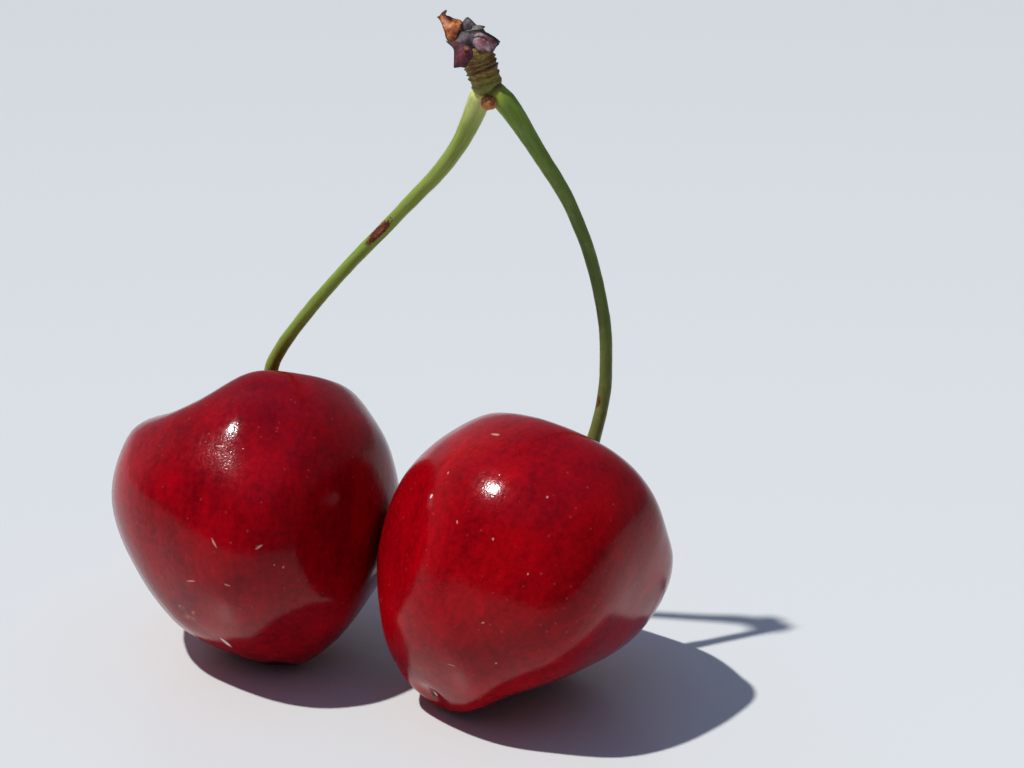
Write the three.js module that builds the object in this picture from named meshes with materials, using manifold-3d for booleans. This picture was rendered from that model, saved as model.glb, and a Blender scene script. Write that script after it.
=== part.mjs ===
import * as THREE from "three";
import { mergeVertices } from "three/addons/utils/BufferGeometryUtils.js";
import Module from "manifold-3d";

// Two sweet cherries on their stalks, which grow from one short fruiting spur.
// Millimetres, +Z up. The pair rests on the ground plane z = 0 on its two fruits, with the stalks in
// the air. The origin lies on that plane, under the middle of the bounding box. +X is to the right
// and +Y is away, seen from the side that shows both fruits in front of their stalks.

const wasm = await Module();
wasm.setup();

// Driving dimensions
const TOUCH_GAP = 0.3; // clear space between neighbouring solids
const REST_DEPTH = 0.3; // how deep the flat spot under each fruit is cut
const MERIDIANS = 48; // steps round a fruit
const RINGS_PER_POINT = 4; // steps along each stretch of a fruit's profile
const STEM_HOLLOW_DEPTH = 3.6; // from the rim of the stem hollow down to its floor
const TIP_SHIFT_REACH = 8; // how far from the tip a fruit follows it sideways
const TIP_DIMPLE = { depth: 0.45, reach: 2.4 };

// Each fruit is a lathed body, then pushed in or out at a few places. A push is given by its ring on
// the profile, its meridian in degrees, how far it goes out (negative: in) and how far it reaches.
const LEFT_FRUIT = {
  radius: 13.25,
  roundness: 1.01,
  crown: 11.9,
  base: 13.55,
  shoulder: 0.555,
  cheek: 0.795,
  flank: 0.47,
  nose: 0.19,
  tipShift: [0.7, -2.7],
  pushes: [
    { ring: "shoulder", meridian: 90, out: 1.15, reach: 10 },
    { ring: "cheek", meridian: 180, out: 1.95, reach: 10 },
    { ring: "waist", meridian: 225, out: -1.65, reach: 10 },
    { ring: "rim", meridian: 105, out: -2.9, reach: 8.5 },
    { ring: "waist", meridian: 255, out: -1.5, reach: 9 },
    { ring: "shoulder", meridian: 172.5, out: 0.45, reach: 4.5 },
    { ring: "waist", meridian: 157.5, out: -0.25, reach: 6 },
    { ring: "flank", meridian: 262.5, out: 0.95, reach: 6.5 },
    { ring: "cheek", meridian: 225, out: 0.8, reach: 9 },
    { ring: "shoulder", meridian: 0, out: 0.9, reach: 8 },
  ],
  turn: 82.6,
  lean: 33,
  roll: 9,
  place: [-11.6, 4.5],
};
const RIGHT_FRUIT = {
  radius: 13.8,
  roundness: 0.895,
  crown: 9.25,
  base: 13.95,
  shoulder: 0.805,
  cheek: 0.86,
  flank: 0.54,
  nose: 0.3,
  tipShift: [2.9, -2.35],
  pushes: [
    { ring: "shoulder", meridian: 270, out: 1.35, reach: 10 },
    { ring: "cheek", meridian: 90, out: -0.95, reach: 10 },
    { ring: "cheek", meridian: 270, out: -1.25, reach: 10 },
    { ring: "waist", meridian: 225, out: -1.2, reach: 10 },
    { ring: "rim", meridian: 187.5, out: 0.7, reach: 7.3 },
    { ring: "cheek", meridian: 202.5, out: 1.1, reach: 9 },
    { ring: "rim", meridian: 120, out: -0.4, reach: 7 },
  ],
  turn: 47.4,
  lean: 58.6,
  roll: 55.1,
  place: [11.5, -4.25],
};

const STALK = { sides: 10, steps: 30, radius: 0.53, footRadius: 0.8, topRadius: 1.06 };
const STALK_FOOT_REACH = 1.3; // the widening at the fruit fades over this length
const STALK_TOP_REACH = 3.2; // and the one at the spur over this
const STALK_STRAIGHT = 2.6; // a stalk leaves its fruit straight along the fruit's axis this far
const LEFT_STALK_ROUTE = [
  [-10.55, 10.2, 25.3],
  [-8.7, 9.75, 28.4],
  [-3.95, 9.05, 34.3],
  [1.3, 8.4, 40.05],
  [5.95, 7.2, 45.85],
];
const RIGHT_STALK_ROUTE = [
  [18.75, 3.3, 22.65],
  [19.25, 4.4, 27.45],
  [18.75, 5.1, 32.8],
  [16.2, 5.4, 40.95],
  [13.15, 5.0, 46.45],
];
const LEFT_JOINT = [8.05, 6.35, 50.75];
const RIGHT_JOINT = [10.25, 4.8, 51.6];

const SPUR_FOOT = [8.85, 5.62, 51.6];
const SPUR_LEAN = -17.3; // degrees about +Y: the spur leans to the left
const NECK = { length: 3.5, footRadius: 1.05, radius: 1.36, ridges: 4, ridgeHeight: 0.14, sides: 18 };
const STUB_RADIUS = 1.05; // base of each stalk, grown out of the neck
const STUB_ROOT = 1.2; // how far up inside the neck the stubs start
const NUB = { from: [9, 5.1, 52], to: [8.95, 4.2, 50.6], radius: 0.66 };

const BUD_HEIGHT = 4.2; // from the foot of the neck to the level that the scales are placed from
const BUD_CORE = { radius: 1.15, height: 2.1, sides: 14 };
const SCALE_THICKNESS = 0.6;
const SCALE_CLEARANCE = 0.5; // cut round the amber scale, so that it stands clear of the others
// Dry bud scales, placed from the middle of the bud in the spur's own frame. A scale stands up from its
// root and widens by "fan", is tipped over to the right by "tip", leans outward by "lean" and is then
// turned about the spur's axis by "turn"; "cup" hollows it across and "curl" bends its end outward.
const DARK_SCALES = [
  {
    root: [0.15, -0.35, 0.9],
    size: { length: 1.75, width: 1.5, fan: 0.9, cup: 0.3, curl: 0.3 },
    pose: { tip: 18, lean: 12, turn: 10 },
  },
  {
    root: [-0.1, -0.75, 0.75],
    size: { length: 2.5, width: 1.3, fan: 1.05, cup: 0.25, curl: 0.15 },
    pose: { tip: 112, lean: 4, turn: 0 },
  },
  {
    root: [-0.5, -0.75, 1],
    size: { length: 2.9, width: 1.5, fan: 0.95, cup: 0.2, curl: 0.1 },
    pose: { tip: 207, lean: -24, turn: -16 },
  },
  {
    root: [0.75, 0.7, 0.5],
    size: { length: 2.1, width: 1.6, fan: 0.8, cup: 0.35, curl: 0.4 },
    pose: { tip: 0, lean: 38, turn: 130 },
  },
  {
    root: [-0.5, 0.95, 0.45],
    size: { length: 2.3, width: 1.7, fan: 0.8, cup: 0.35, curl: 0.35 },
    pose: { tip: 0, lean: 30, turn: 205 },
  },
];
const AMBER_SCALE = {
  root: [-1.6, -0.15, 0.65],
  size: { length: 2.85, width: 1.25, fan: 1.75, cup: 0.45, curl: 0.25 },
  pose: { tip: -8, lean: 6, turn: -22 },
};

// Skin, stalk and scale colours
const MATERIALS = {
  skin: new THREE.MeshStandardMaterial({ color: 0x7d1220, roughness: 0.22, metalness: 0 }),
  stalk: new THREE.MeshStandardMaterial({ color: 0x6f8433, roughness: 0.5, metalness: 0 }),
  spur: new THREE.MeshStandardMaterial({ color: 0x70632d, roughness: 0.7, metalness: 0 }),
  darkScale: new THREE.MeshStandardMaterial({ color: 0x54303a, roughness: 0.75, metalness: 0 }),
  amberScale: new THREE.MeshStandardMaterial({ color: 0xb4571f, roughness: 0.6, metalness: 0 }),
};

// Closed geometry to solid and back
function solidOf(geometry) {
  const bare = geometry.clone();
  bare.deleteAttribute("normal");
  bare.deleteAttribute("uv");
  const merged = mergeVertices(bare, 1e-4);
  return new wasm.Manifold(
    new wasm.Mesh({
      numProp: 3,
      vertProperties: new Float32Array(merged.attributes.position.array),
      triVerts: new Uint32Array(merged.index.array),
    }),
  );
}

function geometryOf(solid) {
  const mesh = solid.getMesh();
  const geometry = new THREE.BufferGeometry();
  geometry.setAttribute("position", new THREE.BufferAttribute(mesh.vertProperties, 3));
  geometry.setIndex(new THREE.BufferAttribute(mesh.triVerts, 1));
  geometry.computeVertexNormals();
  return geometry;
}

function moveVertices(geometry, move) {
  const position = geometry.attributes.position;
  const point = new THREE.Vector3();
  for (let i = 0; i < position.count; i++) {
    point.fromBufferAttribute(position, i);
    move(point);
    position.setXYZ(i, point.x, point.y, point.z);
  }
}

// 1 at the centre, 0 at the reach, with no edge at either
function softFall(distance, reach) {
  const t = Math.max(0, 1 - distance / reach);
  return t * t * (3 - 2 * t);
}

const onRing = ["tip", "nose", "flank", "cheek", "waist", "shoulder", "rim"];
const ringRise = { rim: 1.5, shoulder: 0.6, waist: 0, cheek: -0.7, flank: -0.7 };

// Fruit: a lathed heart shape about its own +Z axis, with the stem hollow on top and the tip below
function fruitBody(fruit) {
  const { radius, crown, base } = fruit;
  const hollow = STEM_HOLLOW_DEPTH;
  const profile = new THREE.SplineCurve([
    new THREE.Vector2(0, -base),
    new THREE.Vector2(fruit.nose * radius, -0.96 * base),
    new THREE.Vector2(fruit.flank * radius, -0.8 * base),
    new THREE.Vector2(fruit.cheek * radius, -0.45 * base),
    new THREE.Vector2(radius, 0),
    new THREE.Vector2(0.84 * radius, fruit.shoulder * crown),
    new THREE.Vector2(0.52 * radius, crown),
    new THREE.Vector2(0.3 * radius, crown - 0.5 * hollow),
    new THREE.Vector2(0.13 * radius, crown - 0.93 * hollow),
    new THREE.Vector2(0, crown - hollow),
  ]).getPoints(9 * RINGS_PER_POINT);
  profile[0].x = 0;
  profile[profile.length - 1].x = 0;

  const geometry = new THREE.LatheGeometry(profile, MERIDIANS);
  geometry.rotateX(Math.PI / 2);
  geometry.scale(1, fruit.roundness, 1);

  const pointAt = (ring, meridian) => {
    const spin = Math.round(((meridian + 90) / 360) * MERIDIANS) % MERIDIANS;
    const index = spin * profile.length + onRing.indexOf(ring) * RINGS_PER_POINT;
    return new THREE.Vector3().fromBufferAttribute(geometry.attributes.position, index);
  };
  const pushAt = (centre, shift, reach) =>
    moveVertices(geometry, (point) => {
      point.addScaledVector(shift, softFall(point.distanceTo(centre), reach));
    });

  for (const push of fruit.pushes) {
    const angle = THREE.MathUtils.degToRad(push.meridian);
    const outward = new THREE.Vector3(Math.cos(angle), Math.sin(angle), ringRise[push.ring]);
    pushAt(pointAt(push.ring, push.meridian), outward.normalize().multiplyScalar(push.out), push.reach);
  }
  const [shiftX, shiftY] = fruit.tipShift;
  pushAt(pointAt("tip", 0), new THREE.Vector3(shiftX, shiftY, 0), TIP_SHIFT_REACH);
  pushAt(pointAt("tip", 0), new THREE.Vector3(0, 0, TIP_DIMPLE.depth), TIP_DIMPLE.reach);
  return geometry;
}

function fruitTurn(fruit) {
  const { turn, lean, roll } = fruit;
  const [turnAngle, leanAngle, rollAngle] = [turn, lean, roll].map(THREE.MathUtils.degToRad);
  return new THREE.Matrix4()
    .makeRotationZ(turnAngle)
    .multiply(new THREE.Matrix4().makeRotationY(leanAngle))
    .multiply(new THREE.Matrix4().makeRotationZ(rollAngle));
}

// The fruit as it lies: turned, cut flat where it rests, with its centre at the height that leaves
function makeFruit(name, fruit) {
  const turned = fruitBody(fruit).applyMatrix4(fruitTurn(fruit));
  turned.computeBoundingBox();
  const height = -turned.boundingBox.min.z - REST_DEPTH;
  const below = new THREE.BoxGeometry(40, 40, 10).translate(0, 0, -height - 5);
  const rested = solidOf(turned).subtract(solidOf(below));
  const mesh = new THREE.Mesh(geometryOf(rested), MATERIALS.skin);
  mesh.name = name;
  mesh.position.set(fruit.place[0], fruit.place[1], height);
  return mesh;
}

// Stalk: a rod bent along its route from the floor of the fruit's stem hollow up to the spur. The one
// that is cut out of the spur, to keep the gap to it, is grown thicker and longer.
function stalkGeometry(fruit, fruitMesh, route, joint, grow) {
  const turn = fruitTurn(fruit);
  const axis = new THREE.Vector3(0, 0, 1).transformDirection(turn);
  const floor = new THREE.Vector3(0, 0, fruit.crown - STEM_HOLLOW_DEPTH).applyMatrix4(turn);
  floor.add(fruitMesh.position);
  const foot = floor.clone().addScaledVector(axis, TOUCH_GAP + 0.15);
  const clear = floor.clone().addScaledVector(axis, STALK_STRAIGHT);
  const curve = new THREE.CatmullRomCurve3([
    foot,
    clear,
    ...route.map((point) => new THREE.Vector3(...point)),
    new THREE.Vector3(...joint),
  ]);
  const length = curve.getLength();
  const frames = curve.computeFrenetFrames(STALK.steps, false);

  const geometry = new THREE.CylinderGeometry(1, 1, 1, STALK.sides, STALK.steps);
  moveVertices(geometry, (point) => {
    const along = point.y + 0.5;
    const step = Math.round(along * STALK.steps);
    const fromFoot = along * length;
    const radius =
      grow +
      STALK.radius +
      (STALK.footRadius - STALK.radius) * Math.exp(-fromFoot / STALK_FOOT_REACH) +
      (STALK.topRadius - STALK.radius) * Math.exp((fromFoot - length) / STALK_TOP_REACH);
    const [across, over] = [point.x * radius, -point.z * radius];
    point.copy(curve.getPointAt(along));
    point.addScaledVector(frames.normals[step], across);
    point.addScaledVector(frames.binormals[step], over);
    if (step === STALK.steps) point.addScaledVector(frames.tangents[step], grow);
  });
  return geometry;
}

function makeStalk(name, stalk) {
  const mesh = new THREE.Mesh(geometryOf(solidOf(stalkGeometry(...stalk, 0))), MATERIALS.stalk);
  mesh.name = name;
  return mesh;
}

function rod(from, to, radius, sides = 14) {
  const [start, end] = [new THREE.Vector3(...from), new THREE.Vector3(...to)];
  const direction = end.clone().sub(start);
  const geometry = new THREE.CylinderGeometry(radius, radius, direction.length(), sides, 1);
  geometry.translate(0, direction.length() / 2, 0);
  const up = new THREE.Vector3(0, 1, 0);
  geometry.applyQuaternion(new THREE.Quaternion().setFromUnitVectors(up, direction.normalize()));
  return geometry.translate(...start);
}

// Spur: a ringed neck, the two stubs that the stalks stand on and the nub of a fallen stalk
const spurFrame = new THREE.Matrix4()
  .makeTranslation(...SPUR_FOOT)
  .multiply(new THREE.Matrix4().makeRotationY(THREE.MathUtils.degToRad(SPUR_LEAN)));

function neckGeometry(grow) {
  const { length, footRadius, radius, ridges, ridgeHeight, sides } = NECK;
  const pitch = length / ridges;
  const profile = [new THREE.Vector2(0, -grow), new THREE.Vector2(footRadius + grow, -grow)];
  for (let i = 0; i < ridges; i++) {
    profile.push(new THREE.Vector2((i ? radius : footRadius) + grow, (i + 0.35) * pitch));
    profile.push(new THREE.Vector2(radius + (i ? ridgeHeight : 0) + grow, (i + 0.7) * pitch));
  }
  profile.push(new THREE.Vector2(0.9 * radius + grow, length + grow));
  profile.push(new THREE.Vector2(0, length + grow));
  return new THREE.LatheGeometry(profile, sides).rotateX(Math.PI / 2).applyMatrix4(spurFrame);
}

function makeSpur(stalks) {
  let solid = solidOf(neckGeometry(0));
  const root = new THREE.Vector3(0, 0, STUB_ROOT).applyMatrix4(spurFrame).toArray();
  for (const joint of [LEFT_JOINT, RIGHT_JOINT]) {
    solid = solid.add(solidOf(rod(joint, root, STUB_RADIUS)));
  }
  solid = solid.add(solidOf(rod(NUB.from, NUB.to, NUB.radius)));
  solid = solid.add(solidOf(new THREE.SphereGeometry(NUB.radius, 12, 6).translate(...NUB.to)));
  for (const stalk of stalks) {
    solid = solid.subtract(solidOf(stalkGeometry(...stalk, TOUCH_GAP)));
  }
  const mesh = new THREE.Mesh(geometryOf(solid), MATERIALS.spur);
  mesh.name = "spur";
  return mesh;
}

// Bud scales: thin cupped blades with pointed ends, their roots sunk in the core of the bud
const budFrame = spurFrame.clone().multiply(new THREE.Matrix4().makeTranslation(0, 0, BUD_HEIGHT));

function scaleGeometry({ root, size, pose }, grow) {
  const geometry = new THREE.BoxGeometry(1, SCALE_THICKNESS + 2 * grow, 1, 4, 1, 4);
  moveVertices(geometry, (point) => {
    const side = 2 * point.x;
    const up = point.z + 0.5;
    const halfWidth = 0.5 * size.width * (1 + (size.fan - 1) * up) + grow;
    const notch = 0.18 * size.length * side * side * up;
    point.x = side * halfWidth;
    point.y += -size.cup * side * side - size.curl * up * up;
    point.z = up * (size.length + 2 * grow) - grow - notch;
  });
  geometry.rotateY(THREE.MathUtils.degToRad(pose.tip));
  geometry.rotateX(THREE.MathUtils.degToRad(pose.lean));
  geometry.rotateZ(THREE.MathUtils.degToRad(pose.turn));
  return geometry.translate(...root).applyMatrix4(budFrame);
}

function makeDarkScales() {
  const { radius, height, sides } = BUD_CORE;
  const foot = NECK.length - BUD_HEIGHT + TOUCH_GAP;
  const core = new THREE.LatheGeometry(
    [
      new THREE.Vector2(0, foot),
      new THREE.Vector2(radius, foot),
      new THREE.Vector2(radius, 0.45 * height),
      new THREE.Vector2(0.7 * radius, 0.85 * height),
      new THREE.Vector2(0, height),
    ],
    sides,
  ).rotateX(Math.PI / 2);
  let solid = solidOf(core.applyMatrix4(budFrame));
  for (const scale of DARK_SCALES) solid = solid.add(solidOf(scaleGeometry(scale, 0)));
  solid = solid.subtract(solidOf(neckGeometry(TOUCH_GAP)));
  solid = solid.subtract(solidOf(scaleGeometry(AMBER_SCALE, SCALE_CLEARANCE)));
  const mesh = new THREE.Mesh(geometryOf(solid), MATERIALS.darkScale);
  mesh.name = "bud_scales_dark";
  return mesh;
}

function makeAmberScale() {
  const mesh = new THREE.Mesh(geometryOf(solidOf(scaleGeometry(AMBER_SCALE, 0))), MATERIALS.amberScale);
  mesh.name = "bud_scale_amber";
  return mesh;
}

// The pair, put together
const leftFruit = makeFruit("cherry_left", LEFT_FRUIT);
const rightFruit = makeFruit("cherry_right", RIGHT_FRUIT);
const leftStalk = [LEFT_FRUIT, leftFruit, LEFT_STALK_ROUTE, LEFT_JOINT];
const rightStalk = [RIGHT_FRUIT, rightFruit, RIGHT_STALK_ROUTE, RIGHT_JOINT];

const pair = new THREE.Group();
pair.add(leftFruit, rightFruit);
pair.add(makeStalk("stalk_left", leftStalk), makeStalk("stalk_right", rightStalk));
pair.add(makeSpur([leftStalk, rightStalk]), makeDarkScales(), makeAmberScale());

export default pair;
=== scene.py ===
import math

import bpy
from mathutils import Matrix, Vector
from mathutils.geometry import intersect_point_line


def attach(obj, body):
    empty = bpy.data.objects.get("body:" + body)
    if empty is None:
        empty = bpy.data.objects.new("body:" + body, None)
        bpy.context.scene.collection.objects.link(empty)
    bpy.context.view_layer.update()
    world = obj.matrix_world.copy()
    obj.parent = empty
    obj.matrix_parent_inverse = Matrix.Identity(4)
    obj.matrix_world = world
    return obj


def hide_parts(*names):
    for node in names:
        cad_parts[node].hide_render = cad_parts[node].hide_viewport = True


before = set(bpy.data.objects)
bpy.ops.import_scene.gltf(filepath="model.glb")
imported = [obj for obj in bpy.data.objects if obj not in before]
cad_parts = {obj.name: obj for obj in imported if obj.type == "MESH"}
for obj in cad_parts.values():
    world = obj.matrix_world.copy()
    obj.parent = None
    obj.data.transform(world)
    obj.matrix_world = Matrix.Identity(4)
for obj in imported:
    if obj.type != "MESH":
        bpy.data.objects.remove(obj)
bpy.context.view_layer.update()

# Left cherry
# A ripe sweet cherry: one grown fruit with a thin glossy skin over juicy flesh, a funnel that the
# stalk goes into, a faint seam down one side and a small dry scar at the tip.

MM = 0.001
REST_DEPTH = 0.3 * MM  # the flat spot that the fruit's own weight presses on its underside
HOLLOW_DEPTH = 3.6 * MM  # from the rim of the stem hollow to its floor
SPIN_STEPS = 144
PROFILE_STEPS = 10  # along each stretch of the profile
PROFILE_RINGS = ["tip", "nose", "flank", "cheek", "waist", "shoulder", "rim"]
RING_DEPTHS = {"nose": 0.96, "flank": 0.8, "cheek": 0.45}  # shares of the way down to the tip
SHOULDER_WIDTH = 0.84  # a share of the fruit's radius, as are the next ones
RIM_WIDTH = 0.52
HOLLOW_WALL = [(0.3, 0.5), (0.13, 0.93)]  # widths, each with its share of the hollow's depth
PUSH_RISE = {"rim": 1.5, "shoulder": 0.6, "waist": 0, "cheek": -0.7, "flank": -0.7}
TIP_SHIFT_REACH = 8 * MM
TIP_DIMPLE_DEPTH = 0.45 * MM
TIP_DIMPLE_REACH = 2.4 * MM
SEAM_STOPS = slice(12, 78, 3)  # points of the profile, from the nose up into the hollow
SEAM_DEPTH = 0.07 * MM
SEAM_REACH = 0.9 * MM
SKIN_GRAIN = 5 * MM
SKIN_UNEVENNESS = 0.12 * MM
SKIN_RELIEF = 0.032 * MM
BLOTCH_GRAIN = 5 * MM
STREAK_GRAIN = 1.3 * MM
STREAK_STRETCH = (1, 1, 4.5)
SPECKLE_GRAIN = 0.55 * MM
FINE_GRAIN = 0.2 * MM
PORE_SPACING = 1.15 * MM
PALE_CORK = (0.62, 0.3, 0.24, 1.0)
BROWN_CORK = (0.15, 0.006, 0.005, 1.0)
TAN_CORK = (0.62, 0.13, 0.09, 1.0)
# White specks for light on the skin: painted highlights where the sun glints at the tips, and one
# painted reflection speck
PAINTED_GLINT = (0.9, 0.84, 0.83, 1.0)

LEFT_CHERRY = {
    "radius": 13.25,
    "roundness": 1.01,
    "crown": 11.9,
    "base": 13.55,
    "shoulder": 0.555,
    "cheek": 0.795,
    "flank": 0.47,
    "nose": 0.19,
    "tip_shift": (0.7, -2.7),
    "pushes": [
        ("shoulder", 90, 1.15, 10),
        ("cheek", 180, 1.95, 10),
        ("waist", 225, -1.65, 10),
        ("rim", 105, -2.9, 8.5),
        ("waist", 255, -1.5, 9),
        ("shoulder", 172.5, 0.45, 4.5),
        ("waist", 157.5, -0.25, 6),
        ("flank", 262.5, 0.95, 6.5),
        ("cheek", 225, 0.8, 9),
        ("shoulder", 0, 0.9, 8),
    ],
    "turn": 82.6,
    "lean": 33,
    "roll": 9,
    "place": (-11.6, 4.5),
    "seam": 100,
    "marks": [
        ((164.9, -4.34), (166.6, -5.0), 0.075, PALE_CORK),
        ((182.1, -5.0), (184.2, -4.63), 0.07, PALE_CORK),
        ((147.7, -7.61), (153.3, -7.65), 0.07, PALE_CORK),
        ((169.3, -7.93), (172.0, -8.07), 0.07, PALE_CORK),
        ((193.3, -6.22), (193.4, -6.22), 0.11, PALE_CORK),
        ((189.6, -6.15), (189.7, -6.15), 0.08, PALE_CORK),
        ((162.0, 3.84), (165.5, 3.76), 0.06, PALE_CORK),
        ((193.1, 10.33), (193.2, 10.33), 0.1, PALE_CORK),
        ((183.6, 10.36), (186.6, 10.2), 0.07, PALE_CORK),
        ((128.1, -9.4), (131.4, -9.5), 0.2, TAN_CORK),
        ((126.0, -10.1), (134.0, -10.4), 0.26, TAN_CORK),
        ((138.0, -9.99), (140.2, -9.9), 0.15, TAN_CORK),
        ((129.1, -9.47), (130.4, -9.6), 0.17, BROWN_CORK),
        ((133.1, -9.8), (134.6, -9.9), 0.2, BROWN_CORK),
        ((124.3, -10.05), (126.3, -10.15), 0.18, BROWN_CORK),
        ((130.2, -10.31), (132.2, -10.5), 0.19, BROWN_CORK),
        ((139.6, -10.2), (141.2, -10.3), 0.17, BROWN_CORK),
        # painted highlight: the sun's glint at the tip
        ((145.8, -11.85), (146.4, -12.3), 0.22, PAINTED_GLINT),
    ],
}


def on_curve(points, steps):
    """A smooth curve through the points, as a list with the given steps to each stretch."""
    ends = [points[0], *points, points[-1]]
    curve = []
    for before, start, end, after in zip(ends, ends[1:], ends[2:], ends[3:]):
        for step in range(steps):
            t = step / steps
            curve.append(
                0.5
                * (
                    2 * start
                    + (end - before) * t
                    + (2 * before - 5 * start + 4 * end - after) * t**2
                    + (3 * start - before - 3 * end + after) * t**3
                )
            )
    return curve + [points[-1]]


def fruit_profile(fruit):
    """Half of the fruit's outline, from the tip up to the floor of the stem hollow."""
    radius, crown, base = (fruit[size] * MM for size in ("radius", "crown", "base"))
    points = [Vector((0, 0, -base))]
    for ring, depth in RING_DEPTHS.items():
        points.append(Vector((fruit[ring] * radius, 0, -depth * base)))
    points.append(Vector((radius, 0, 0)))
    points.append(Vector((SHOULDER_WIDTH * radius, 0, fruit["shoulder"] * crown)))
    points.append(Vector((RIM_WIDTH * radius, 0, crown)))
    for width, depth in HOLLOW_WALL:
        points.append(Vector((width * radius, 0, crown - depth * HOLLOW_DEPTH)))
    points.append(Vector((0, 0, crown - HOLLOW_DEPTH)))
    return on_curve(points, PROFILE_STEPS)


def spin_profile(name, profile, steps):
    """Draws the profile vertex by vertex, spins it round the upright axis and closes it."""
    bpy.ops.object.select_all(action="DESELECT")
    bpy.ops.mesh.primitive_plane_add(size=MM)
    piece = bpy.context.object
    piece.name = name
    bpy.ops.object.mode_set(mode="EDIT")
    bpy.ops.mesh.select_all(action="SELECT")
    bpy.ops.mesh.merge(type="CENTER")
    bpy.ops.transform.translate(value=profile[0])
    for here, there in zip(profile, profile[1:]):
        bpy.ops.mesh.extrude_region_move(TRANSFORM_OT_translate={"value": there - here})
    bpy.ops.mesh.select_all(action="SELECT")
    bpy.ops.mesh.spin(steps=steps, angle=2 * math.pi, center=(0, 0, 0), axis=(0, 0, 1))
    bpy.ops.mesh.select_all(action="SELECT")
    bpy.ops.mesh.remove_doubles(threshold=0.001 * MM)
    bpy.ops.mesh.normals_make_consistent(inside=False)
    bpy.ops.object.mode_set(mode="OBJECT")
    return piece


def nearest(piece, point):
    """The vertex of the piece that lies closest to a point."""
    return min(piece.data.vertices, key=lambda vertex: (vertex.co - point).length_squared).index


def pick(piece, wanted):
    """Selects those vertices alone and leaves the piece in edit mode."""
    bpy.ops.object.mode_set(mode="EDIT")
    bpy.ops.mesh.select_all(action="DESELECT")
    bpy.ops.object.mode_set(mode="OBJECT")
    for index in wanted:
        piece.data.vertices[index].select = True
    bpy.ops.object.mode_set(mode="EDIT")


def push(piece, index, shift, reach):
    """Moves one vertex and, with it, the skin round it in a soft swelling or dent."""
    pick(piece, [index])
    bpy.ops.transform.translate(
        value=shift,
        use_proportional_edit=True,
        proportional_edit_falloff="SMOOTH",
        proportional_size=reach,
    )
    bpy.ops.object.mode_set(mode="OBJECT")


def meridian_point(radius, height, meridian):
    angle = math.radians(meridian)
    return Vector((radius * math.cos(angle), radius * math.sin(angle), height))


def fruit_turn(fruit):
    turn, lean, roll = (math.radians(fruit[angle]) for angle in ("turn", "lean", "roll"))
    return (
        Matrix.Rotation(turn, 4, "Z") @ Matrix.Rotation(lean, 4, "Y") @ Matrix.Rotation(roll, 4, "Z")
    )


def set_down(piece, matrix):
    """Puts a piece that was made at the origin in its place, with the place in its mesh."""
    piece.matrix_world = matrix
    bpy.ops.object.select_all(action="DESELECT")
    piece.select_set(True)
    bpy.context.view_layer.objects.active = piece
    bpy.ops.object.transform_apply(location=True, rotation=True, scale=True)


def roughen(piece, grain, strength):
    """Displaces the surface by a cloudy noise of that grain and applies it."""
    clouds = bpy.data.textures.new(piece.name + "_unevenness", "CLOUDS")
    clouds.noise_scale = grain
    uneven = piece.modifiers.new("Unevenness", "DISPLACE")
    uneven.texture = clouds
    uneven.texture_coords = "LOCAL"
    uneven.strength = strength
    uneven.mid_level = 0.5
    bpy.ops.object.select_all(action="DESELECT")
    piece.select_set(True)
    bpy.context.view_layer.objects.active = piece
    bpy.ops.object.modifier_apply(modifier=uneven.name)


def grow_fruit(name, fruit):
    """The fruit in its own upright frame, then turned, rested on its flat spot and set in place."""
    profile = fruit_profile(fruit)
    piece = spin_profile(name, profile, SPIN_STEPS)

    at_ring = {ring: profile[i * PROFILE_STEPS] for i, ring in enumerate(PROFILE_RINGS)}
    picked = []
    for ring, meridian, _, _ in fruit["pushes"]:
        spot = meridian_point(at_ring[ring].x, at_ring[ring].z, meridian)
        picked.append(nearest(piece, spot))
    tip = nearest(piece, at_ring["tip"])
    seam = [nearest(piece, meridian_point(p.x, p.z, fruit["seam"])) for p in profile[SEAM_STOPS]]

    bpy.ops.object.mode_set(mode="EDIT")
    bpy.ops.mesh.select_all(action="SELECT")
    bpy.ops.transform.resize(value=(1, fruit["roundness"], 1), center_override=(0, 0, 0))
    bpy.ops.object.mode_set(mode="OBJECT")
    for index, (ring, meridian, out, reach) in zip(picked, fruit["pushes"]):
        outward = meridian_point(1, PUSH_RISE[ring], meridian).normalized()
        push(piece, index, outward * out * MM, reach * MM)
    shift_x, shift_y = fruit["tip_shift"]
    push(piece, tip, (shift_x * MM, shift_y * MM, 0), TIP_SHIFT_REACH)
    push(piece, tip, (0, 0, TIP_DIMPLE_DEPTH), TIP_DIMPLE_REACH)
    pick(piece, seam)
    bpy.ops.transform.shrink_fatten(
        value=-SEAM_DEPTH,
        use_proportional_edit=True,
        proportional_edit_falloff="SMOOTH",
        proportional_size=SEAM_REACH,
    )
    bpy.ops.object.mode_set(mode="OBJECT")
    roughen(piece, SKIN_GRAIN, SKIN_UNEVENNESS)

    turn = fruit_turn(fruit)
    height = -min((turn @ vertex.co).z for vertex in piece.data.vertices) - REST_DEPTH
    x, y = fruit["place"]
    place = Matrix.Translation((x * MM, y * MM, height)) @ turn
    marks = [find_mark(piece, *mark) for mark in fruit["marks"]]
    set_down(piece, place)
    pick(piece, [vertex.index for vertex in piece.data.vertices if vertex.co.z < 0])
    bpy.ops.transform.resize(value=(1, 1, 0), center_override=(0, 0, 0))
    bpy.ops.object.mode_set(mode="OBJECT")
    bpy.ops.object.shade_smooth()
    return piece, place, marks


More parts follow.
